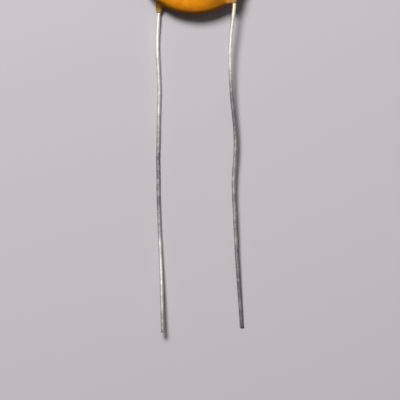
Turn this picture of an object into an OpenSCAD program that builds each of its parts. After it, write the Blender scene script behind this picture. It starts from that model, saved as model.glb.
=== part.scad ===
// Ceramic disc capacitor with two wire leads, lying flat on a surface.
// Units are millimetres. The origin is the middle of the small flat that the
// body rests on, +Z is up, and the leads run towards -Y from the body.
// The right lead is soldered to the upper (front) face of the ceramic disc and
// the left lead to its lower (back) face.

/* [Body] */
// Diameter over the resin coat
body_d = 16; // [14:0.5:20]
// Extra height that the coat builds up over the middle of each face
crown_rise = 0.2; // [0.1:0.05:0.5]
// How far each face falls from its middle to the start of the round rim
crown_drop = 0.35; // [0.2:0.05:0.6]
// Coat outside the edge of the ceramic disc
edge_coat = 0.8; // [0.6:0.1:1.2]
// Coat over the wires where they cross the rim and stand out as ridges
wire_coat = 0.3; // [0.2:0.05:0.4]
// How far inside the rim each ridge over a wire fades into the face
ridge_l = 4; // [3:0.5:5]
// Depth of the flat that the body rests on
rest_cut = 0.08; // [0.04:0.01:0.12]

/* [Coat legs] */
// Length of the coat's run-down on the left lead, from the rim
left_leg = 1.2; // [0.5:0.05:3]
// Length of the coat's run-down on the right lead, from the rim
right_leg = 0.45; // [0.4:0.05:3]
// Coat round the left lead where it passes the rim
left_leg_wall = 0.15; // [0.1:0.01:0.3]
// Coat round the right lead where it passes the rim
right_leg_wall = 0.25; // [0.1:0.01:0.3]
// Coat left round the wire at the very end of each leg
leg_lip = 0.03; // [0.02:0.01:0.06]

/* [Ceramic and electrodes] */
// Thickness of the ceramic disc
ceramic_t = 1.5; // [1:0.1:2.5]
// Bevel round both edges of the ceramic disc
ceramic_bevel = 0.15; // [0.05:0.05:0.3]
// Thickness of each electrode film
electrode_t = 0.05; // [0.03:0.01:0.1]
// Bare ring of ceramic round each electrode
electrode_margin = 0.8; // [0.5:0.1:1]

/* [Solder] */
// Radius of each half-round solder bead
solder_r = 0.65; // [0.6:0.01:0.7]
// Gap from the outer round end of each bead to the edge of its electrode
solder_inset = 0.5; // [0.3:0.1:1]
// Solder between each wire and its electrode
solder_film = 0.05; // [0.03:0.01:0.08]

/* [Leads] */
// Diameter of the wire
wire_d = 0.5; // [0.4:0.05:0.55]
// Distance between the leads where they leave the coat
lead_pitch = 10; // [7.5:0.5:10.5]
// How far the pair of leads sits to the right of the body's middle
lead_offset = 0.25; // [0:0.05:0.5]
// Length of the left lead beyond its coat leg
left_length = 42.5; // [30:0.5:50]
// Length of the right lead beyond its coat leg
right_length = 43; // [30:0.5:50]
// Length of the straight, true-round end of each lead
tip_l = 6; // [3:0.5:8]
// Lean of the left lead at the rim, in degrees, to the right going up
left_lean = 4; // [0:0.5:8]
// Lean of the right lead at the rim, in degrees, to the right going up
right_lean = 3; // [0:0.5:8]
// How far inside the rim each lead bends inwards
bend_depth = 1.2; // [1:0.1:1.5]
// Half the length of that bend
bend_run = 0.5; // [0.3:0.1:0.6]
// Distance of each lead's inner end from the body's centre line
inner_x = 2.9; // [2:0.1:3.5]
// Distance of each lead's inner end above the middle of the disc
inner_y = 1.5; // [0:0.25:2.5]

/* [Hidden] */
$fn = 96;

LEFT = -1;
RIGHT = 1;

// Each lead's bends by hand, one row for each point of its route: the share of
// its bent length, the drift to the right of its exit, and the lift of the wire
// above the surface. The straight tip starts at the last row.
left_route = [
    [0.06, -0.15, 0.35],
    [0.12, -0.22, 0.28],
    [0.18, -0.14, 0.23],
    [0.24, -0.02, 0.18],
    [0.29, 0.04, 0.14],
    [0.36, -0.03, 0.10],
    [0.42, -0.06, 0.07],
    [0.48, -0.09, 0.04],
    [0.53, -0.14, 0.03],
    [0.60, -0.09, 0.02],
    [0.66, -0.08, 0.02],
    [0.74, 0.02, 0.05],
    [0.82, 0.12, 0.17],
    [0.90, 0.24, 0.42],
    [1, 0.37, 0.78]];
right_route = [
    [0.06, -0.20, 2.52],
    [0.12, -0.45, 2.33],
    [0.18, -0.56, 2.13],
    [0.24, -0.52, 1.92],
    [0.30, -0.41, 1.71],
    [0.36, -0.24, 1.52],
    [0.42, 0.02, 1.40],
    [0.48, 0.17, 1.29],
    [0.53, 0.16, 1.20],
    [0.60, -0.02, 1.14],
    [0.65, -0.08, 1.10],
    [0.72, 0, 1.03],
    [0.80, 0.16, 0.92],
    [0.88, 0.29, 0.76],
    [0.95, 0.47, 0.57],
    [1, 0.60, 0.43]];
// Drift and lift of each lead's cut end
left_end = [0.54, 1.35];
right_end = [1.03, 0.02];

// Sides of a swept stretch of wire, and rings from one route point to the next
sweep_sides = 16;
sweep_steps = 2;
// A swept stretch is this much slimmer than the wire, so that its ends tuck
// inside the true-round stretches that it joins
sweep_tuck = 0.002;
// How far a swept stretch reaches into a round one, and runs straight before it
sweep_lap = 0.2;

wire_r = wire_d / 2;
ridge_r = wire_r + wire_coat;
body_r = body_d / 2;
ceramic_r = body_r - edge_coat;
electrode_r = ceramic_r - electrode_margin;

// Heights from the middle plane of the ceramic disc
film_z = ceramic_t / 2 + electrode_t;
wire_z = film_z + solder_film + wire_r;
crown_z = wire_z + ridge_r + crown_rise;
// Height of that middle plane above the surface
mid_z = crown_z - rest_cut;

// The rim is a round of radius rim_r, and each face is part of a large sphere
// that runs into it without a step
rim_r = crown_z - crown_drop;
rim_x = body_r - rim_r;
crown_r = (rim_x ^ 2 + crown_z ^ 2 - rim_r ^ 2) / (2 * (crown_z - rim_r));
join_x = rim_x * crown_r / (crown_r - rim_r);

// The sizes that differ between the two sides
function pick(side, left, right) = side == LEFT ? left : right;
function leg_l(side) = pick(side, left_leg, right_leg);
function lead_l(side) = pick(side, left_length, right_length);
function route(side) = pick(side, left_route, right_route);
function end_shift(side) = pick(side, left_end, right_end);

// The left lead lies under the ceramic disc and the right lead over it
function face(side) = pick(side, -1, 1);
function wire_height(side) = mid_z + face(side) * wire_z;
function unit(v) = v / norm(v);

// Points on each lead. Into the body is the direction from leg_end to inner_bend
function into_body(side) =
    let (lean = pick(side, left_lean, right_lean))
    [sin(lean), cos(lean), 0];
function leg_end(side) =
    let (x = side * lead_pitch / 2 + lead_offset)
    [x, -sqrt(body_r ^ 2 - x ^ 2) - leg_l(side), wire_height(side)];
function inner_bend(side) =
    leg_end(side) + (leg_l(side) + bend_depth) * into_body(side);
function inner_end(side) = [side * inner_x, inner_y, wire_height(side)];
function inner_way(side) = unit(inner_end(side) - inner_bend(side));
// Length of a solder bead between the centres of its round ends: from the inner
// end of the lead, outwards along it to near the edge of the electrode
function bead_l(side) =
    let (a = inner_end(side) - [0, 0, wire_height(side)], inwards = a * inner_way(side),
         reach = electrode_r - solder_inset - solder_r)
    inwards + sqrt(inwards ^ 2 - a * a + reach ^ 2);
// The round stretch through the leg starts and ends here
function leg_from(side) =
    inner_bend(side) - (bend_run + sweep_lap) * into_body(side);
function leg_to(side) = leg_end(side) - 2 * sweep_lap * into_body(side);
// The bent length ends, and the straight tip starts and ends, here
function route_point(side, row) =
    leg_end(side) * [[1, 0, 0], [0, 1, 0], [0, 0, 0]]
    + [row[1], -row[0] * (lead_l(side) - tip_l), wire_r + row[2]];
function tip_start(side) = route_point(side, route(side)[len(route(side)) - 1]);
function tip_end(side) =
    let (shift = end_shift(side), root = leg_end(side))
    [root[0] + shift[0], root[1] - lead_l(side), wire_r + shift[1]];

// Heading of a smooth curve at its point k. The first and last stretches of
// every curve are straight
function heading(p, k) =
    let (last = len(p) - 1)
    k <= 1 ? unit(p[1] - p[0]) :
    k >= last - 1 ? unit(p[last] - p[last - 1]) :
    (p[k + 1] - p[k - 1]) / (norm(p[k + 1] - p[k]) + norm(p[k] - p[k - 1]));

// Point at share t of the smooth curve from point k to point k + 1
function on_curve(p, k, t) =
    let (h = norm(p[k + 1] - p[k]))
    (2 * t ^ 3 - 3 * t ^ 2 + 1) * p[k]
    + (t ^ 3 - 2 * t ^ 2 + t) * h * heading(p, k)
    + (3 * t ^ 2 - 2 * t ^ 3) * p[k + 1]
    + (t ^ 3 - t ^ 2) * h * heading(p, k + 1);

// Every ring's centre along the curve through the points p
function centres(p, steps) =
    let (last = len(p) - 1)
    concat([p[0]],
           [for (k = [1 : last - 2], i = [0 : steps - 1]) on_curve(p, k, i / steps)],
           [p[last - 1], p[last]]);

// One ring of corners round point c, square to the direction of travel d
function ring(c, d, r) =
    let (across = unit(cross(d, [0, 0, 1])), over = cross(across, d))
    [for (i = [0 : sweep_sides - 1])
        let (a = 360 * (i + 0.5) / sweep_sides)
        c + r * (cos(a) * across + sin(a) * over)];

// A round wire bent along the smooth curve through the points p
module bent_wire(p, steps) {
    c = centres(p, steps);
    last = len(c) - 1;
    n = sweep_sides;
    corners = [for (k = [0 : last])
        each ring(c[k], unit(c[min(k + 1, last)] - c[max(k - 1, 0)]), wire_r - sweep_tuck)];
    walls = [for (k = [0 : last - 1], i = [0 : n - 1])
        let (j = (i + 1) % n)
        each [[k * n + i, k * n + j, (k + 1) * n + i],
              [k * n + j, (k + 1) * n + j, (k + 1) * n + i]]];
    first_cap = [for (i = [n - 1 : -1 : 0]) i];
    last_cap = [for (i = [0 : n - 1]) last * n + i];
    polyhedron(corners, concat([first_cap], walls, [last_cap]));
}

// Places a shape drawn up the Z axis so that it runs from point a towards b
module from_to(a, b) {
    d = b - a;
    translate(a)
        rotate([0, acos(d[2] / norm(d)), atan2(d[1], d[0])])
            children();
}

// A straight round bar from point a to point b
module bar(a, b, r) {
    from_to(a, b) cylinder(h = norm(b - a), r = r);
}

// The lead's stretch inside the body and through its coat leg
module lead_root(side) {
    bend = inner_bend(side);
    way = inner_way(side);
    bent_wire([inner_end(side),
               bend + bend_run * way,
               bend - bend_run * into_body(side),
               leg_from(side) - sweep_lap * into_body(side)], 4);
    bar(leg_from(side), leg_to(side), wire_r);
}

// A whole lead, from its soldered end to its cut end
module lead(side) {
    start = leg_to(side);
    tip_way = unit(tip_end(side) - tip_start(side));
    rows = route(side);
    lead_root(side);
    bent_wire(concat([start + sweep_lap * into_body(side),
                      start - sweep_lap * into_body(side)],
                     [for (k = [0 : len(rows) - 2]) route_point(side, rows[k])],
                     [tip_start(side) - sweep_lap * tip_way,
                      tip_start(side) + sweep_lap * tip_way]), sweep_steps);
    bar(tip_start(side), tip_end(side), wire_r);
}

// Half of the section through the body's coat, from the axis to the rim
module body_section() {
    intersection() {
        union() {
            translate([rim_x, 0]) circle(rim_r);
            intersection() {
                translate([0, crown_z - crown_r]) circle(crown_r, $fn = 720);
                translate([0, crown_r - crown_z]) circle(crown_r, $fn = 720);
                square([2 * join_x, 4 * crown_z], center = true);
            }
        }
        translate([0, -2 * crown_z]) square([body_d, 4 * crown_z]);
    }
}

// The ridge of coat over one lead: it rises out of the face towards the rim, and
// past the rim it tapers out along the wire as the coat leg
module lead_coat(side) {
    tip = leg_end(side);
    l = ridge_l + leg_l(side);
    rim_wall = wire_r + pick(side, left_leg_wall, right_leg_wall);
    from_to(tip + l * into_body(side), tip)
        rotate_extrude()
            polygon([[0, 0], [wire_r, 0], [ridge_r, ridge_l / 2],
                     [ridge_r, ridge_l - bend_run], [rim_wall, ridge_l],
                     [wire_r + leg_lip, l], [0, l]]);
}

// A solder bead before the wire is taken out of it: half of a round-ended bar
// that lies on the electrode
module bead_form(side) {
    top = mid_z + face(side) * film_z;
    a = [inner_end(side)[0], inner_end(side)[1], top];
    l = bead_l(side);
    b = a - l * inner_way(side);
    intersection() {
        from_to(a, b)
            rotate_extrude()
                intersection() {
                    union() {
                        circle(solder_r);
                        translate([0, l]) circle(solder_r);
                        translate([-solder_r, 0]) square([2 * solder_r, l]);
                    }
                    translate([0, -solder_r]) square([solder_r, l + 2 * solder_r]);
                }
        translate([0, 0, top + face(side) * body_r]) cube(body_d, center = true);
    }
}

// A film electrode on one face of the ceramic disc
module electrode(side) {
    translate([0, 0, mid_z + face(side) * (ceramic_t + electrode_t) / 2])
        cylinder(h = electrode_t, r = electrode_r, center = true);
}

module ceramic_disc() {
    half = ceramic_t / 2;
    inset = ceramic_r - ceramic_bevel;
    color("#d9cdb8")
        translate([0, 0, mid_z])
            rotate_extrude()
                polygon([[0, -half], [inset, -half], [ceramic_r, ceramic_bevel - half],
                         [ceramic_r, half - ceramic_bevel], [inset, half], [0, half]]);
}

module front_electrode() {
    color("#c9c9c4") electrode(RIGHT);
}

module back_electrode() {
    color("#c9c9c4") electrode(LEFT);
}

module front_solder() {
    color("#a9abad")
        difference() {
            bead_form(RIGHT);
            lead_root(RIGHT);
        }
}

module back_solder() {
    color("#a9abad")
        difference() {
            bead_form(LEFT);
            lead_root(LEFT);
        }
}

module left_lead() {
    color("#d6d3c8") lead(LEFT);
}

module right_lead() {
    color("#d6d3c8") lead(RIGHT);
}

module resin_coating() {
    color("#e08e1a")
        difference() {
            intersection() {
                union() {
                    translate([0, 0, mid_z]) rotate_extrude() body_section();
                    lead_coat(LEFT);
                    lead_coat(RIGHT);
                }
                translate([0, 0, body_d]) cube(2 * body_d, center = true);
            }
            ceramic_disc();
            front_electrode();
            back_electrode();
            bead_form(LEFT);
            bead_form(RIGHT);
            lead_root(LEFT);
            lead_root(RIGHT);
        }
}

resin_coating();
ceramic_disc();
front_electrode();
back_electrode();
front_solder();
back_solder();
left_lead();
right_lead();
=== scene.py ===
# A ceramic disc capacitor lying flat, dressed piece by piece in the order it is made:
# fired ceramic, silver films, solder, tinned wires, and the resin dip over them all.
import math

import bpy
import numpy as np
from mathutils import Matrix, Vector


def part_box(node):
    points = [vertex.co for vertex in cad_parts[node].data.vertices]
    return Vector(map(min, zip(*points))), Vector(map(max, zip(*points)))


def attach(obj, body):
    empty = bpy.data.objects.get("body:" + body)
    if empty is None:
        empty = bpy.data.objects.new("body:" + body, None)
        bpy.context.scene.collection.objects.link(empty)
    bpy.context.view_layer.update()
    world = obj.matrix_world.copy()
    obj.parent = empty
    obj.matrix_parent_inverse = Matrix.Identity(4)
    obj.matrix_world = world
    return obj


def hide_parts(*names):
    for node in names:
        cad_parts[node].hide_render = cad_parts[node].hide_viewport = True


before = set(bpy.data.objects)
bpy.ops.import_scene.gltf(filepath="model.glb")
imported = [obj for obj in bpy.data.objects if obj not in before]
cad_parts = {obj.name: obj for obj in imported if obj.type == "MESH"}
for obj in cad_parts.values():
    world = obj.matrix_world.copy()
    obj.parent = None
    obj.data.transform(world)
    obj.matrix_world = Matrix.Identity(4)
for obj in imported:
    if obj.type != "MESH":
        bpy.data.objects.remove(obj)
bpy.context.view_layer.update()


# ---------------------------------------------------------------------------
# The ceramic disc: titanate powder pressed flat and fired, hard and matt, with
# a fine grain and a few iron specks. Everything else is built up on it.

MM_PER_METRE = 1000.0


def srgb(code):
    """The linear colour of a hex code by the sRGB curve, with alpha."""
    parts = [int(code[i:i + 2], 16) / 255 for i in (1, 3, 5)]
    linear = [c / 12.92 if c <= 0.04045 else ((c + 0.055) / 1.055) ** 2.4 for c in parts]
    return (*linear, 1.0)


def add_node(tree, kind, inputs=None, **settings):
    """One node of a tree, with its settings and the values or links of its inputs."""
    made = tree.nodes.new(kind)
    for name, value in settings.items():
        setattr(made, name, value)
    for key, value in (inputs or {}).items():
        if isinstance(value, Amount):
            value = value.socket
        if isinstance(value, bpy.types.NodeSocket):
            tree.links.new(value, made.inputs[key])
        else:
            made.inputs[key].default_value = value
    return made


class Amount:
    """A number that varies over a shape, so that node maths can be written as plain formulas."""

    def __init__(self, socket):
        self.socket = socket
        self.tree = socket.id_data

    def maths(self, operation, *others):
        """One step of node maths that starts from this amount."""
        values = dict(enumerate((self, *others)))
        return Amount(add_node(self.tree, "ShaderNodeMath", values,
                               operation=operation).outputs[0])

    def __add__(self, other):
        return self.maths("ADD", other)

    def __sub__(self, other):
        return self.maths("SUBTRACT", other)

    def __mul__(self, other):
        return self.maths("MULTIPLY", other)

    def __truediv__(self, other):
        return self.maths("DIVIDE", other)

    def __pow__(self, other):
        return self.maths("POWER", other)

    def held(self, low=0.0, high=1.0):
        """This amount, kept between two limits."""
        return self.maths("MINIMUM", high).maths("MAXIMUM", low)

    def eased(self, low, high, start=0.0, stop=1.0):
        """Goes smoothly from start to stop as this amount goes from low to high."""
        made = add_node(self.tree, "ShaderNodeMapRange",
                        {"Value": self, "From Min": low, "From Max": high,
                         "To Min": start, "To Max": stop},
                        interpolation_type="SMOOTHSTEP")
        return Amount(made.outputs["Result"])

    def between(self, start, stop):
        """Goes smoothly from start to stop as this amount goes from 0 to 1."""
        return self.eased(0.0, 1.0, start, stop)


def vectors(tree, operation, *values, scale=None):
    """One step of vector maths: a vector, or an Amount where the result is one number."""
    inputs = dict(enumerate(values))
    if scale is not None:
        inputs["Scale"] = scale
    made = add_node(tree, "ShaderNodeVectorMath", inputs, operation=operation)
    if operation in ("DOT_PRODUCT", "LENGTH", "DISTANCE"):
        return Amount(made.outputs["Value"])
    return made.outputs[0]


def new_material(name):
    """An empty material and its tree."""
    material = bpy.data.materials.new(name)
    material.use_nodes = True
    material.node_tree.nodes.clear()
    return material, material.node_tree


def millimetres(tree):
    """Where a point is on the part, in millimetres."""
    place = add_node(tree, "ShaderNodeTexCoord").outputs["Object"]
    return vectors(tree, "SCALE", place, scale=MM_PER_METRE)


def mix_colour(tree, share, first, second):
    """A colour between two others: the first at a share of 0, the second at 1."""
    made = add_node(tree, "ShaderNodeMix", {0: share, 6: first, 7: second}, data_type="RGBA")
    return made.outputs[2]


def bumped(tree, height, strength, depth):
    """The surface's normal, turned by a height that stands for a depth in millimetres."""
    made = add_node(tree, "ShaderNodeBump",
                    {"Height": height, "Strength": strength, "Distance": depth / MM_PER_METRE})
    return made.outputs[0]


def finish_surface(tree, **inputs):
    """The surface shader of a material, with its inputs set or linked."""
    named = {name.replace("_", " "): value for name, value in inputs.items()}
    surface = add_node(tree, "ShaderNodeBsdfPrincipled", named)
    output = add_node(tree, "ShaderNodeOutputMaterial")
    tree.links.new(surface.outputs[0], output.inputs["Surface"])


def new_effect(name, inputs, output):
    """An empty group for an effect that materials share, and the group's inputs."""
    group = bpy.data.node_groups.new(name, "ShaderNodeTree")
    for label, kind in inputs.items():
        group.interface.new_socket(label, in_out="INPUT", socket_type="NodeSocket" + kind)
    group.interface.new_socket(output, in_out="OUTPUT", socket_type="NodeSocketFloat")
    return group, add_node(group, "NodeGroupInput").outputs


def shared(tree, group, output, **inputs):
    """One use of a shared effect in a material."""
    return Amount(add_node(tree, "ShaderNodeGroup", inputs, node_tree=group).outputs[output])


# Cloudiness in three sizes, for colour and gloss that are never quite even. The noise
# keeps mostly to the middle of its range, which is stretched to run from 0 to 1.
CLOUD_MIDDLE = (0.3, 0.7)

cloud, given = new_effect("cloudiness", {"Place": "Vector", "Size": "Float"}, "Cloud")
billows = add_node(cloud, "ShaderNodeTexNoise",
                   {"Vector": given["Place"], "Scale": Amount(given["Size"]) ** -1.0,
                    "Detail": 3.0, "Roughness": 0.55})
add_node(cloud, "NodeGroupOutput", {"Cloud": Amount(billows.outputs[0]).eased(*CLOUD_MIDDLE)})

# Small ragged specks, scattered unevenly: 1 in a speck and 0 outside. The surface falls
# into cells of the given spacing, a share of the cells hold a speck each, and the sizes
# here are measured in cells.
SPECK_SMALLEST = 0.05
SPECK_LARGEST = 0.21
SPECK_EDGE = 0.1
SPECK_RAGGEDNESS = 0.25

specks, given = new_effect("specks", {"Place": "Vector", "Spacing": "Float",
                                      "Share": "Float"}, "Speck")
spaced = vectors(specks, "SCALE", given["Place"], scale=Amount(given["Spacing"]) ** -1.0)
wander = add_node(specks, "ShaderNodeTexNoise", {"Vector": spaced, "Scale": 6.0, "Detail": 2.0})
cells = add_node(specks, "ShaderNodeTexVoronoi",
                 {"Vector": vectors(specks, "MULTIPLY_ADD", wander.outputs["Color"],
                                    (SPECK_RAGGEDNESS,) * 3, spaced),
                  "Scale": 1.0, "Randomness": 1.0})
draws = add_node(specks, "ShaderNodeSeparateColor", {0: cells.outputs["Color"]}).outputs
speck_size = Amount(draws[0]) * (SPECK_LARGEST - SPECK_SMALLEST) + SPECK_SMALLEST
holds_speck = Amount(draws[1]).maths("LESS_THAN", given["Share"])
in_speck = (speck_size - cells.outputs["Distance"]).eased(0.0, SPECK_EDGE)
add_node(specks, "NodeGroupOutput", {"Speck": in_speck * holds_speck})

CERAMIC_BUFF = srgb("#d9cdb8")
CERAMIC_SHADE = srgb("#c3b291")
CERAMIC_ROUGHNESS = (0.62, 0.8)
IRON_SPECK = srgb("#6b5334")
IRON_STRENGTH = 0.7

fired_ceramic, tree = new_material("fired ceramic")
place = millimetres(tree)
shade = shared(tree, cloud, "Cloud", Place=place, Size=2.5)
iron = shared(tree, specks, "Speck", Place=place, Spacing=0.6, Share=0.3)
grain = shared(tree, cloud, "Cloud", Place=place, Size=0.07)
buff = mix_colour(tree, shade, CERAMIC_BUFF, CERAMIC_SHADE)
finish_surface(tree, Base_Color=mix_colour(tree, iron * IRON_STRENGTH, buff, IRON_SPECK),
               Roughness=grain.between(*CERAMIC_ROUGHNESS),
               Normal=bumped(tree, grain, strength=0.25, depth=0.02))
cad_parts["ceramic_disc"].material_slots[0].material = fired_ceramic


# ---------------------------------------------------------------------------
# The two electrodes: silver paste printed on each face of the ceramic through a
# screen and fired to a thin, matt, slightly yellowed film.

SILVER_FILM = srgb("#d5d3cb")
SILVER_TARNISH = srgb("#a99f86")
SILVER_ROUGHNESS = (0.45, 0.62)
TARNISH_STRENGTH = 0.6
SCREEN_PITCH = 0.12
# A wave texture at a scale of 1 has its crests this far apart
WAVE_PITCH = math.tau / 20

silver_film, tree = new_material("fired silver film")
place = millimetres(tree)
tarnish = shared(tree, cloud, "Cloud", Place=place, Size=1.8)
screen = add_node(tree, "ShaderNodeTexWave",
                  {"Vector": place, "Scale": WAVE_PITCH / SCREEN_PITCH, "Distortion": 1.0})
finish_surface(tree, Base_Color=mix_colour(tree, tarnish * TARNISH_STRENGTH,
                                           SILVER_FILM, SILVER_TARNISH),
               Metallic=0.85,
               Roughness=tarnish.between(*SILVER_ROUGHNESS),
               Normal=bumped(tree, screen.outputs["Fac"], strength=0.3, depth=0.01))
for name in ("front_electrode", "back_electrode"):
    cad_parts[name].material_slots[0].material = silver_film


# ---------------------------------------------------------------------------
# The solder beads: soft solder run along each wire where it lies on its film,
# set to a satin skin with frosty patches and a flux stain.

SOLDER_BRIGHT = srgb("#c4c6c8")
SOLDER_FROST = srgb("#8f9193")
SOLDER_ROUGHNESS = (0.25, 0.5)
FLUX_STAIN = srgb("#8a6a34")
FLUX_FROM = 0.7
FLUX_STRENGTH = 0.5

soft_solder, tree = new_material("soft solder")
place = millimetres(tree)
frost = shared(tree, cloud, "Cloud", Place=place, Size=0.35)
flux = shared(tree, cloud, "Cloud", Place=place, Size=1.1).eased(FLUX_FROM, 1.0)
set_metal = mix_colour(tree, frost, SOLDER_BRIGHT, SOLDER_FROST)
finish_surface(tree, Base_Color=mix_colour(tree, flux * FLUX_STRENGTH, set_metal, FLUX_STAIN),
               Metallic=1.0,
               Roughness=frost.between(*SOLDER_ROUGHNESS),
               Normal=bumped(tree, frost, strength=0.3, depth=0.02))
for name in ("front_solder", "back_solder"):
    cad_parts[name].material_slots[0].material = soft_solder


# ---------------------------------------------------------------------------
# The two leads: soft steel wire with a copper skin, hot-tinned, bent by handling.
# Each is soldered to its film inside the body, and cut off with side cutters.

WIRE_RADIUS = 0.25
# The slices that find a wire's middle: how far apart they are, and how far in from its ends
SLICE_SPACING = 0.8
SLICE_INSET = 0.35
# How far the edge of a slanting end reaches past the middle of it
END_SLANT = 0.04


def wire_centres(solid):
    """Points down the middle of a wire in millimetres, from slices across its solid."""
    corners = np.array([corner.co for corner in solid.data.vertices]) * MM_PER_METRE
    edges = corners[np.array([edge.vertices for edge in solid.data.edges])]
    low, high = corners[:, 1].min(), corners[:, 1].max()
    count = round((high - low - 2 * SLICE_INSET) / SLICE_SPACING)
    points = []
    for y in np.linspace(high - SLICE_INSET, low + SLICE_INSET, count):
        crossing = edges[(edges[:, 0, 1] - y) * (edges[:, 1, 1] - y) < 0]
        share = (y - crossing[:, 0, 1]) / (crossing[:, 1, 1] - crossing[:, 0, 1])
        cut = crossing[:, 0] + share[:, None] * (crossing[:, 1] - crossing[:, 0])
        points.append((cut.min(0) + cut.max(0)) / 2)
    inner = points[0] - points[1]
    outer = points[-1] - points[-2]
    points.insert(0, points[0] + inner * (high - END_SLANT - points[0][1]) / inner[1])
    points.append(points[-1] + outer * (low + END_SLANT - points[-1][1]) / outer[1])
    return np.array(points)


def new_shape_tree(name, values):
    """An empty Geometry Nodes tree with an input for each named value, and those inputs."""
    kinds = {float: "NodeSocketFloat", tuple: "NodeSocketVector",
             bpy.types.Material: "NodeSocketMaterial"}
    tree = bpy.data.node_groups.new(name, "GeometryNodeTree")
    tree.interface.new_socket("Geometry", in_out="OUTPUT", socket_type="NodeSocketGeometry")
    tree.interface.new_socket("Geometry", in_out="INPUT", socket_type="NodeSocketGeometry")
    for label, value in values.items():
        tree.interface.new_socket(label, in_out="INPUT", socket_type=kinds[type(value)])
    return tree, add_node(tree, "NodeGroupInput").outputs


def end_tree(tree, shape, material):
    """Turns a shape in millimetres into metres, gives it its material and ends the tree."""
    metres = add_node(tree, "GeometryNodeTransform",
                      {"Geometry": shape, "Scale": (1 / MM_PER_METRE,) * 3})
    real = add_node(tree, "GeometryNodeRealizeInstances", {"Geometry": metres.outputs[0]})
    painted = add_node(tree, "GeometryNodeSetMaterial",
                       {"Geometry": real.outputs[0], "Material": material})
    add_node(tree, "NodeGroupOutput", {"Geometry": painted.outputs[0]})


def made_piece(name, source, tree, values):
    """The mesh that a tree makes of an object, as a plain piece. The source is deleted."""
    modifier = source.modifiers.new(name, "NODES")
    modifier.node_group = tree
    for item in tree.interface.items_tree:
        if item.in_out == "INPUT" and item.name in values:
            modifier[item.identifier] = values[item.name]
    bpy.context.scene.collection.objects.link(source)
    bpy.context.view_layer.update()
    graph = bpy.context.evaluated_depsgraph_get()
    mesh = bpy.data.meshes.new_from_object(source.evaluated_get(graph), depsgraph=graph)
    mesh.name = name
    source.modifiers.remove(modifier)
    bpy.data.objects.remove(source)
    piece = bpy.data.objects.new(name, mesh)
    bpy.context.scene.collection.objects.link(piece)
    return piece


def captured(tree, shape, **values):
    """A shape that carries the values of fields as they are now, and those values."""
    made = add_node(tree, "GeometryNodeCaptureAttribute", {"Geometry": shape})
    for name, value in values.items():
        made.capture_items.new("FLOAT" if isinstance(value, Amount) else "VECTOR", name)
        socket = value.socket if isinstance(value, Amount) else value
        tree.links.new(socket, made.inputs[name])
    return made.outputs


def kept(tree, shape, name, value, kind="FLOAT"):
    """A shape with a value kept at its points under a name, for its material to read."""
    made = add_node(tree, "GeometryNodeStoreNamedAttribute",
                    {"Geometry": shape, "Name": name, "Value": value},
                    data_type=kind, domain="POINT")
    return made.outputs[0]


def read_back(tree, name):
    """The number that a mesh keeps under a name, in its material."""
    return Amount(add_node(tree, "ShaderNodeAttribute", attribute_name=name).outputs["Fac"])


# A round wire drawn through points: slightly uneven where the tin ran, and pinched
# to a blunt edge where the cutters closed on its end
RIPPLES_PER_MM = 0.6
SHARP_EDGE = math.radians(50)
CUT_DEPTH = 0.1

tinned_wire, tin = new_material("tinned wire")
wire_values = {"Radius": WIRE_RADIUS, "Ring spacing": 0.12, "Tin ripple": 0.02,
               "Pinch length": 0.45, "Pinched thickness": 0.35, "Pinched width": 1.15,
               "Tin": tinned_wire}
wire_tree, given = new_shape_tree("wire", wire_values)
line = add_node(wire_tree, "GeometryNodeMeshToCurve", {"Mesh": given["Geometry"]})
smooth = add_node(wire_tree, "GeometryNodeCurveSplineType", {"Curve": line.outputs[0]},
                  spline_type="CATMULL_ROM")
path = add_node(wire_tree, "GeometryNodeResampleCurve",
                {"Curve": smooth.outputs[0], "Length": given["Ring spacing"]}, mode="LENGTH")
down = Amount(add_node(wire_tree, "GeometryNodeSplineParameter").outputs["Length"])
to_end = Amount(add_node(wire_tree, "GeometryNodeSplineLength").outputs["Length"]) - down
position = add_node(wire_tree, "GeometryNodeInputPosition").outputs[0]
rings = captured(wire_tree, path.outputs[0], centre=position, down=down, to_end=to_end)
circle = add_node(wire_tree, "GeometryNodeCurvePrimitiveCircle",
                  {"Resolution": 24, "Radius": given["Radius"]})
outline = captured(wire_tree, circle.outputs[0], round=position)
ripple = add_node(wire_tree, "ShaderNodeTexNoise",
                  {"Vector": position, "Scale": RIPPLES_PER_MM, "Detail": 2.0})
swell = (Amount(ripple.outputs[0]) - 0.5) * given["Tin ripple"] * 2.0 + 1.0
skin = add_node(wire_tree, "GeometryNodeCurveToMesh",
                {"Curve": rings["Geometry"], "Profile Curve": outline["Geometry"],
                 "Scale": swell, "Fill Caps": True})
pinch = Amount(rings["to_end"]).eased(0.0, given["Pinch length"], 1.0, 0.0)
widening = pinch * (Amount(given["Pinched width"]) - 1.0) + 1.0
flattening = pinch * (Amount(given["Pinched thickness"]) - 1.0) + 1.0
squeeze = add_node(wire_tree, "ShaderNodeCombineXYZ",
                   {"X": widening, "Y": 1.0, "Z": flattening})
from_centre = vectors(wire_tree, "SUBTRACT", position, rings["centre"])
squeezed = vectors(wire_tree, "MULTIPLY", from_centre, squeeze.outputs[0])
pinched = add_node(wire_tree, "GeometryNodeSetPosition",
                   {"Geometry": skin.outputs[0],
                    "Position": vectors(wire_tree, "ADD", squeezed, rings["centre"])})
soft = add_node(wire_tree, "GeometryNodeSetShadeSmooth", {"Geometry": pinched.outputs[0]},
                domain="FACE")
edge_angle = Amount(add_node(wire_tree, "GeometryNodeInputMeshEdgeAngle").outputs[0])
crisp = add_node(wire_tree, "GeometryNodeSetShadeSmooth",
                 {"Geometry": soft.outputs[0], "Shade Smooth": False,
                  "Selection": edge_angle.maths("GREATER_THAN", SHARP_EDGE)},
                 domain="EDGE")
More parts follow.
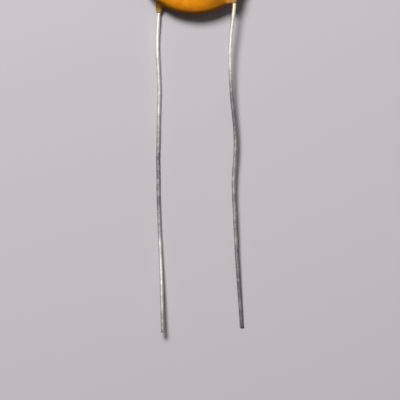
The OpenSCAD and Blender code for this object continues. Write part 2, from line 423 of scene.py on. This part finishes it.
# Where a point is on the wire as if it were straight: across it, and down its length
down_wire = add_node(wire_tree, "ShaderNodeCombineXYZ", {"Z": rings["down"]}).outputs[0]
unbent = vectors(wire_tree, "ADD", down_wire, outline["round"])
drawn = kept(wire_tree, crisp.outputs[0], "wire_place", unbent, "FLOAT_VECTOR")
cut_end = Amount(rings["to_end"]).eased(0.0, CUT_DEPTH, 1.0, 0.0)
end_tree(wire_tree, kept(wire_tree, drawn, "cut", cut_end), given["Tin"])

# Distances down the bare wires are in millimetres, from this distance up the part
BARE_FROM = -7.5
# How dull the tin is painted, at the distances down each wire where it changes: partly tarnish,
# and partly painted reflection, where bends in the wire catch the light more or less.
# The left wire is bright near the body, dull about its middle, and dull again at its end.
# The right one is bright near the body alone
DULLNESS_AND_REFLECTION = {
    "left_lead": [(4, 0), (7, 0.3), (13, 0.4), (19, 0.9), (27, 0.8), (32, 0.4), (37, 0.4),
                  (40, 0.7)],
    "right_lead": [(7, 0.1), (9, 0.6), (13, 1), (20, 0.75), (31, 0.75), (34, 0.95)]}
# How much resin stains the tin just past each leg, by the same distance
RESIN_STAIN = {"left_lead": [(-0.5, 1), (-0.1, 0.9), (0.6, 0)],
               "right_lead": [(-0.9, 1), (-0.6, 0.95), (0.5, 0)]}

wires = {}
for name, dullness_and_reflection in DULLNESS_AND_REFLECTION.items():
    centres = wire_centres(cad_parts[name])
    mesh = bpy.data.meshes.new(name)
    mesh.from_pydata(centres, [(k, k + 1) for k in range(len(centres) - 1)], [])
    bare = BARE_FROM - centres[:, 1]
    for label, by_distance in (("dull_and_reflection", dullness_and_reflection), ("stain", RESIN_STAIN[name])):
        marked = mesh.attributes.new(label, "FLOAT", "POINT")
        marked.data.foreach_set("value", np.interp(bare, *zip(*by_distance)))
    source = bpy.data.objects.new(name, mesh)
    wire = made_piece(name + "_wire", source, wire_tree, wire_values)
    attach(wire, "root")
    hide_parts(name)
    wires[name] = centres

# The tin is painted between these two down each wire, partly as tarnish and partly as painted
# reflection
TIN_BRIGHT = srgb("#eeece7")
TIN_DULL = srgb("#7b7779")
TIN_ROUGHNESS = (0.55, 0.66)
CUT_STEEL = srgb("#77665a")
STAINED_TIN = srgb("#f3d8ad")
# How much uneven patches and a finer frosting add to or take from the tin's dulling and painted
# reflection, and how high the patches stand beside the streaks
PATCHES_SHARE = 0.25
FROSTING_SHARE = 0.2
PATCHES_RELIEF = 2.0
# The streaks' pattern moves on by only this share of the way down a wire, which draws them
# out along it
STREAK_SHARE = 0.08
STREAK_ROUGHNESS = 0.1

place = add_node(tin, "ShaderNodeAttribute", attribute_name="wire_place").outputs["Vector"]
drawn_out = vectors(tin, "MULTIPLY", place, (1.0, 1.0, STREAK_SHARE))
streaks = shared(tin, cloud, "Cloud", Place=drawn_out, Size=0.12)
patches = shared(tin, cloud, "Cloud", Place=place, Size=1.3)
frosting = shared(tin, cloud, "Cloud", Place=place, Size=0.3)
# The tin's dulling down the wire: partly tarnish, partly painted reflection, with patches and
# frosting
tarnish = (read_back(tin, "dull_and_reflection") + (patches - 0.5) * PATCHES_SHARE
           + (frosting - 0.5) * FROSTING_SHARE).held()
tin_colour = mix_colour(tin, tarnish, TIN_BRIGHT, TIN_DULL)
tin_colour = mix_colour(tin, read_back(tin, "stain"), tin_colour, STAINED_TIN)
finish_surface(tin, Base_Color=mix_colour(tin, read_back(tin, "cut"), tin_colour, CUT_STEEL),
               Metallic=1.0,
               Roughness=tarnish.between(*TIN_ROUGHNESS) + (streaks - 0.5) * STREAK_ROUGHNESS,
               Normal=bumped(tin, streaks + patches * PATCHES_RELIEF, strength=0.35, depth=0.01))


# ---------------------------------------------------------------------------
# The resin coat: the soldered body is dipped in ochre-orange resin and cured. It
# hugs the wires as two low ridges, and runs a little way down each as a leg.

# The body: how far its faces have dropped from their crowns where the round rim begins
CROWN_DROP = 0.35
# The ridges: how thick each is round its wire, and how far up the part it starts
RIDGE_RADIUS = 0.45
RIDGE_START = 1.0
# The legs: how far inside the rim the wire bends to run straight out, how far each leg
# runs down past the rim, its wall, and its taper, from 0 for square-cut to 1 for a cone
BEND_DEPTH = 1.2
LEG_LENGTH = {"left_lead": 1.3, "right_lead": 0.46}
LEG_WALL = {"left_lead": 0.24, "right_lead": 0.15}
LEG_TAPER = {"left_lead": 0.3, "right_lead": 0.5}
# At its very tip a leg dives this far under the wire's skin. Inside the rim it widens to
# a shoulder over a short length
TIP_SINK = 0.03
SHOULDER_LENGTH = 0.5
SHOULDER_RADIUS = 0.55
# The webs, one in the corner between each leg and the rim, on the inner side: how far one
# reaches along the rim, how deep that end lies inside the rim, how far down the leg the
# other end lies, and how far both are moved towards the middle of the body's thickness
WEB_REACH = 0.85
WEB_INSET = {"left_lead": 0.15, "right_lead": 0.22}
WEB_FALL = {"left_lead": 0.25, "right_lead": 0.0}
WEB_DROP = 0.2
# The sizes of the lumps in the ragged leg ends, in the slump of the body and in its waves
RAG_SIZE = 0.6
SLUMP_SIZE = 5.0
WAVE_SIZE = 1.6
# How softly the coat turns into the flat that it lies on
FLAT_SOFTNESS = 0.06

coat_low, coat_high = (np.array(corner) * MM_PER_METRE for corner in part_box("resin_coating"))
disc_low, disc_high = (np.array(corner) * MM_PER_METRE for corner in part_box("ceramic_disc"))
body_radius = float(coat_high[0])
middle = float(disc_low[2] + disc_high[2]) / 2
crown = float(coat_high[2]) - middle
rim_radius = crown - CROWN_DROP
rim_centre = body_radius - rim_radius
crown_radius = (rim_centre ** 2 + crown ** 2 - rim_radius ** 2) / (2 * (crown - rim_radius))


def wire_point(name, y):
    """The middle of a wire at a distance y up the part."""
    points = wires[name][::-1]
    return tuple(float(np.interp(y, points[:, 1], points[:, k])) for k in range(3))


def leg_points(name):
    """The ends of a wire's stretch through its leg of resin: the bend inside, and the tip."""
    rim_y = -math.sqrt(body_radius ** 2 - wire_point(name, -body_radius)[0] ** 2)
    return wire_point(name, rim_y + BEND_DEPTH), wire_point(name, rim_y - LEG_LENGTH[name])


def web_points(name):
    """The ends of the web of resin in the corner between a leg and the rim."""
    tip_y = leg_points(name)[1][1]
    x, y, z = wire_point(name, tip_y + LEG_LENGTH[name])
    level = z - math.copysign(WEB_DROP, z - middle)
    end_x = x - math.copysign(WEB_REACH, x)
    end_y = -math.sqrt((body_radius - WEB_INSET[name]) ** 2 - end_x ** 2)
    return (x, y - WEB_FALL[name], level), (end_x, end_y, level)


dipped_resin, resin = new_material("dipped resin")
coat_values = {"Body radius": body_radius, "Middle": middle, "Crown": crown,
               "Crown radius": crown_radius, "Rim radius": rim_radius,
               "Ridge radius": RIDGE_RADIUS, "Ridge fillet": 0.9, "Leg fillet": 1.3,
               "Tip fillet": 0.3, "Web radius": 0.28, "Web fillet": 0.6, "Slump": 0.05,
               "Waviness": 0.02, "Ragged end": 0.1, "Resin": dipped_resin}
for name in wires:
    coat_values[name + " inner"] = wire_point(name, RIDGE_START)
    coat_values[name + " bend"], coat_values[name + " tip"] = leg_points(name)
    coat_values[name + " web root"], coat_values[name + " web end"] = web_points(name)

coat_tree, given = new_shape_tree("coat", coat_values)
position = add_node(coat_tree, "GeometryNodeInputPosition").outputs[0]
x, y, z = (Amount(socket) for socket in
           add_node(coat_tree, "ShaderNodeSeparateXYZ", {0: position}).outputs)

# Each form below is how far a point lies outside it, and less than 0 inside.
# The body: each face is part of a large sphere that runs into the round rim
from_axis = (x * x + y * y) ** 0.5
from_middle = (z - given["Middle"]).maths("ABSOLUTE")
sphere_drop = Amount(given["Crown radius"]) - given["Crown"]
rim_across = Amount(given["Body radius"]) - given["Rim radius"]
from_sphere = from_middle + sphere_drop
to_crown = ((from_axis * from_axis + from_sphere * from_sphere) ** 0.5
            - given["Crown radius"])
past_rim = from_axis - rim_across
to_rim = (past_rim * past_rim + from_middle * from_middle) ** 0.5 - given["Rim radius"]
on_crown = (rim_across * from_sphere - from_axis * sphere_drop).maths("GREATER_THAN", 0.0)
body = to_rim + (to_crown - to_rim) * on_crown


def rod(start, stop):
    """How far a point is from the line between two others, and how far along it from stop."""
    way = vectors(coat_tree, "NORMALIZE", vectors(coat_tree, "SUBTRACT", start, stop))
    away = vectors(coat_tree, "SUBTRACT", position, stop)
    along = vectors(coat_tree, "DOT_PRODUCT", away, way)
    on_line = along.held(0.0, vectors(coat_tree, "DISTANCE", start, stop))
    foot = vectors(coat_tree, "SCALE", way, scale=on_line)
    return vectors(coat_tree, "DISTANCE", away, foot), along


def noise(size):
    """Noise from -1 to 1 with lumps of a size in millimetres."""
    made = add_node(coat_tree, "ShaderNodeTexNoise",
                    {"Vector": position, "Scale": 1 / size, "Detail": 1.0})
    return (Amount(made.outputs[0]) - 0.5) * 2.0


# What the coat keeps for its material. The film is resin so thin that the wire tints it,
# as far as the leg's root. Its depth and shade go from 0 to 1 as the leg's wall thickens:
# partly deeper resin, and partly painted shade at the thick roots, where the left leg lies
# under the rim. Near a wire the painted shade of the face is lightened, where the ridges and
# webs catch the light. All three fade with the distance from the wire's middle. The rim is
# where the body turns down, by how far past its rounding's start.
FILM_FROM = 0.45
FILM_REACH = {"left_lead": 0.95, "right_lead": 1.1}
FILM_ROOT = (-0.1, 0.6)
DEPTH_WALL = (0.12, 0.22)
DEPTH_REACH = (1.0, 2.0)
NEAR_WIRE_REACH = (0.45, 1.3)
RIM_REACH = (1.0, 1.35)
# A leg's fillet grows from the tip's to its own until this far past its root
FILLET_PAST_ROOT = 0.3

ragged = noise(RAG_SIZE) * given["Ragged end"]
coat = body
marks = {"film": [], "film_depth_and_shade": [], "near_wire": []}
for name in wires:
    length = LEG_LENGTH[name]
    from_ridge, _ = rod(given[name + " inner"], given[name + " bend"])
    from_wire, up_wire = rod(given[name + " bend"], given[name + " tip"])
    from_web, _ = rod(given[name + " web root"], given[name + " web end"])
    from_tip = up_wire + ragged
    wall = (((from_tip / length).held() ** LEG_TAPER[name])
            * (LEG_WALL[name] + TIP_SINK) - TIP_SINK)
    shoulder = from_tip.eased(length, length + SHOULDER_LENGTH)
    thickness = wall + shoulder * (SHOULDER_RADIUS - WIRE_RADIUS - LEG_WALL[name])
    fillet = from_tip.eased(0.0, length + FILLET_PAST_ROOT,
                            given["Tip fillet"], given["Leg fillet"])
    coat = coat.maths("SMOOTH_MIN", from_ridge - given["Ridge radius"], given["Ridge fillet"])
    coat = coat.maths("SMOOTH_MIN", from_wire - (thickness + WIRE_RADIUS), fillet)
    coat = coat.maths("SMOOTH_MIN", from_web - given["Web radius"], given["Web fillet"])
    before_root = from_tip.eased(length + FILM_ROOT[0], length + FILM_ROOT[1], 1.0, 0.0)
    marks["film"].append(from_wire.eased(FILM_FROM, FILM_REACH[name], 1.0, 0.0) * before_root)
    # Deeper resin and painted shade where the leg's wall thickens
    marks["film_depth_and_shade"].append(wall.eased(*DEPTH_WALL) * from_wire.eased(*DEPTH_REACH, 1.0, 0.0))
    marks["near_wire"].append(from_wire.eased(*NEAR_WIRE_REACH, 1.0, 0.0))
coat = coat - noise(SLUMP_SIZE) * given["Slump"] - noise(WAVE_SIZE) * given["Waviness"]
coat = coat.maths("SMOOTH_MAX", z * -1.0, FLAT_SOFTNESS)

# The skin of the coat: drawn through a grid of cells, then settled onto the true form.
# The grid has twice the margin beyond the tips of the legs
CELL_SIZE = 0.1
GRID_MARGIN = 0.4
SETTLING_STEPS = 3

lowest = np.append(coat_low[:2], 0.0) - GRID_MARGIN
highest = coat_high + GRID_MARGIN
lowest[1] -= GRID_MARGIN
counts = [int(round(cells_across)) for cells_across in (highest - lowest) / CELL_SIZE]
cells = add_node(coat_tree, "GeometryNodeVolumeCube",
                 {"Density": coat * -1.0 + 1.0, "Background": 0.0,
                  "Min": tuple(lowest), "Max": tuple(highest), "Resolution X": counts[0],
                  "Resolution Y": counts[1], "Resolution Z": counts[2]})
skin = add_node(coat_tree, "GeometryNodeVolumeToMesh",
                {"Volume": cells.outputs[0], "Threshold": 1.0}).outputs[0]
for step in range(SETTLING_STEPS):
    outwards = add_node(coat_tree, "GeometryNodeInputNormal").outputs["Normal"]
    skin = add_node(coat_tree, "GeometryNodeSetPosition",
                    {"Geometry": skin,
                     "Offset": vectors(coat_tree, "SCALE", outwards,
                                       scale=coat * -1.0)}).outputs[0]
skin = add_node(coat_tree, "GeometryNodeSetShadeSmooth", {"Geometry": skin}).outputs[0]
skin = kept(coat_tree, skin, "rim", past_rim.eased(*RIM_REACH))
for label, (left, right) in marks.items():
    skin = kept(coat_tree, skin, label, left.maths("MAXIMUM", right))
end_tree(coat_tree, skin, given["Resin"])

source = bpy.data.objects.new("coat", bpy.data.meshes.new("coat"))
resin_coat = made_piece("resin_coat", source, coat_tree, coat_values)
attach(resin_coat, "root")
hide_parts("resin_coating")

OCHRE = srgb("#f8a012")
OCHRE_DEEP = srgb("#e08208")
# The brown of the painted shade on the rim and by the right wire
OCHRE_SHADE = srgb("#96540a")
FILM_TIP = srgb("#c1924f")
FILM_DEEP_AND_SHADED = srgb("#715526")
RESIN_SPECK = srgb("#8a4c0e")
RESIN_ROUGHNESS = (0.3, 0.42)
RESIN_GLOSS = 0.08
SPECK_STRENGTH = 0.6
# How much of the deep ochre comes from broad clouds, and how much from fine mottle
CLOUDS_SHARE = 0.45
MOTTLE_SHARE = 0.55
# The rim is painted browner, as painted shade where it turns down away from the light, and is
# duller than the faces
RIM_PAINTED_SHADE = 0.5
RIM_DULLNESS = 0.4
# The face has a browner patch by the right wire, painted shade where the face turns away from
# the light.
# It fades away from its middle, towards the rim, and up the part, where a little of it is left
PATCH_SHADE = 0.78
PATCH_MIDDLE = (5.5, -4.5, 1.8)
PATCH_REACH = (2.4, 6.5)
PATCH_WAVER = 1.2
PATCH_FINE_WAVER = 0.5
PATCH_TO_RIM = (6.8, 8.0)
PATCH_UP_PART = (-6.1, -3.2)
PATCH_LEFT = 0.2
# Near a wire, where its ridge and web catch the light, the painted shade is lighter by this
# share, and nowhere is it browner than so
NEAR_WIRE_SHADE_PALING = 0.65
BROWNEST = 0.75

place = millimetres(resin)
rim = read_back(resin, "rim")
film = read_back(resin, "film")
film_depth_and_shade = read_back(resin, "film_depth_and_shade")
near_wire = read_back(resin, "near_wire")
clouds = shared(resin, cloud, "Cloud", Place=place, Size=2.2)
mottle = shared(resin, cloud, "Cloud", Place=place, Size=0.7)
dust = shared(resin, specks, "Speck", Place=place, Spacing=1.1, Share=0.35)
peel = shared(resin, cloud, "Cloud", Place=place, Size=0.3)
ochre = mix_colour(resin, clouds * CLOUDS_SHARE + mottle * MOTTLE_SHARE, OCHRE, OCHRE_DEEP)
from_patch = (vectors(resin, "DISTANCE", place, PATCH_MIDDLE)
              + (clouds - 0.5) * PATCH_WAVER + (mottle - 0.5) * PATCH_FINE_WAVER)
from_axis = vectors(resin, "LENGTH", vectors(resin, "MULTIPLY", place, (1.0, 1.0, 0.0)))
up_part = Amount(add_node(resin, "ShaderNodeSeparateXYZ", {0: place}).outputs["Y"])
shaded_patch = (from_patch.eased(*PATCH_REACH, PATCH_SHADE, 0.0)
         * from_axis.eased(*PATCH_TO_RIM, 1.0, 0.0)
         * (up_part + (clouds - 0.5)).eased(*PATCH_UP_PART, 1.0, PATCH_LEFT))
# Painted shade on the rim and by the right wire, lighter near the wires
painted_shade = (rim * RIM_PAINTED_SHADE + shaded_patch) * (near_wire * -NEAR_WIRE_SHADE_PALING + 1.0)
ochre = mix_colour(resin, painted_shade.maths("MINIMUM", BROWNEST), ochre, OCHRE_SHADE)
# The film is lighter at the tip and darker at the root, partly deeper resin and partly painted
# shade
ochre = mix_colour(resin, film, ochre, mix_colour(resin, film_depth_and_shade, FILM_TIP, FILM_DEEP_AND_SHADED))
finish_surface(resin, Base_Color=mix_colour(resin, dust * SPECK_STRENGTH, ochre, RESIN_SPECK),
               Roughness=mottle.between(*RESIN_ROUGHNESS) + rim * RIM_DULLNESS,
               Specular_IOR_Level=0.15,
               Coat_Weight=(rim * -1.0 + 1.0) * RESIN_GLOSS,
               Coat_Roughness=0.2,
               Normal=bumped(resin, peel - dust, strength=0.3, depth=0.02))


# ---------------------------------------------------------------------------
# The setting: the plain pale bench top that the part lies on, a pale room, two soft
# lamps above, and the camera looking straight down.

FLOOR_SIZE = 3.0
FLOOR_COLOUR = srgb("#cac6c9")
# The light that the floor throws back onto the part is that of a darker cloth
FLOOR_BOUNCE = srgb("#5c585a")
BLACK = (0.0, 0.0, 0.0, 1.0)
TARGET = Vector((0.0, -0.02, 0.0))
KEY_PLACE = Vector((-0.115, 0.24, 0.43))
FILL_PLACE = Vector((0.25, 0.1, 0.45))
# Further from the part than this, the floor is kept pale for the camera where the key
# lamp's light falls off, fully so from the second distance on
PALE_FROM = (0.066, 0.15)

pale_floor, tree = new_material("pale floor")
pale_floor.cycles.emission_sampling = "NONE"
spot = add_node(tree, "ShaderNodeTexCoord").outputs["Object"]
rays = add_node(tree, "ShaderNodeLightPath").outputs
seen = Amount(rays["Is Camera Ray"]) + rays["Is Glossy Ray"] + rays["Is Transmission Ray"]
# The key lamp's light on the floor, where 1 is its light at the lamp's target: it falls off
# with the square of the distance, and with the slant of its rays to both lamp and floor
key_beam = TARGET - KEY_PLACE
from_key = vectors(tree, "SUBTRACT", spot, tuple(KEY_PLACE))
in_beam = vectors(tree, "DOT_PRODUCT", from_key, tuple(key_beam.normalized()))
lit = (in_beam.maths("MAXIMUM", 0.0) / vectors(tree, "LENGTH", from_key) ** 4.0
       * key_beam.length ** 3)
unlit = (lit * -1.0 + 1.0).maths("MAXIMUM", 0.0)
kept_pale = vectors(tree, "LENGTH", spot).eased(*PALE_FROM) * unlit * rays["Is Camera Ray"]
finish_surface(tree, Base_Color=mix_colour(tree, seen, FLOOR_BOUNCE, FLOOR_COLOUR),
               Roughness=0.9,
               Emission_Color=mix_colour(tree, kept_pale, BLACK, FLOOR_COLOUR),
               Emission_Strength=1.0)

half = FLOOR_SIZE / 2
floor_mesh = bpy.data.meshes.new("floor")
floor_mesh.from_pydata([(-half, -half, 0), (half, -half, 0), (half, half, 0), (-half, half, 0)],
                       [], [(0, 1, 2, 3)])
floor_mesh.materials.append(pale_floor)
floor = bpy.data.objects.new("floor", floor_mesh)
bpy.context.scene.collection.objects.link(floor)


def soft_lamp(name, place, size, power):
    """A square area lamp that faces the part."""
    data = bpy.data.lights.new(name, "AREA")
    data.size = size
    data.energy = power
    lamp = bpy.data.objects.new(name, data)
    lamp.location = place
    lamp.rotation_euler = (TARGET - place).to_track_quat("-Z", "Y").to_euler()
    bpy.context.scene.collection.objects.link(lamp)


soft_lamp("key_lamp", KEY_PLACE, size=0.17, power=2.75)
soft_lamp("fill_lamp", FILL_PLACE, size=0.35, power=0.1)

# The room is pale to the camera, dimmer in gloss and metal, and lights the part a little
SKY_COLOUR = srgb("#e6e4e6")
SKY_SEEN = 0.92
SKY_IN_GLOSS = 0.5
SKY_LIGHT = 0.06

world = bpy.data.worlds.new("room")
world.use_nodes = True
world.node_tree.nodes.clear()
rays = add_node(world.node_tree, "ShaderNodeLightPath").outputs
sky_strength = (Amount(rays["Is Camera Ray"]) * SKY_SEEN
                + Amount(rays["Is Glossy Ray"]) * SKY_IN_GLOSS + SKY_LIGHT)
sky = add_node(world.node_tree, "ShaderNodeBackground",
               {"Color": SKY_COLOUR, "Strength": sky_strength})
world_output = add_node(world.node_tree, "ShaderNodeOutputWorld")
world.node_tree.links.new(sky.outputs[0], world_output.inputs["Surface"])
bpy.context.scene.world = world

# The camera looks straight down on VIEW_MIDDLE, and takes in PICTURE_WIDTH of the bench
VIEW_MIDDLE = (0.000713, -0.032575)
CAMERA_HEIGHT = 0.3
SENSOR_WIDTH = 36.0
PIXELS_ACROSS = 400
PIXELS_PER_MM = 7.5
PICTURE_WIDTH = PIXELS_ACROSS / PIXELS_PER_MM / MM_PER_METRE

camera_data = bpy.data.cameras.new("camera")
camera_data.sensor_width = SENSOR_WIDTH
camera_data.lens = SENSOR_WIDTH * CAMERA_HEIGHT / PICTURE_WIDTH
camera_data.clip_start = 0.01
camera = bpy.data.objects.new("camera", camera_data)
camera.location = (*VIEW_MIDDLE, CAMERA_HEIGHT)
bpy.context.scene.collection.objects.link(camera)
bpy.context.scene.camera = camera
bpy.context.scene.view_settings.view_transform = "Standard"
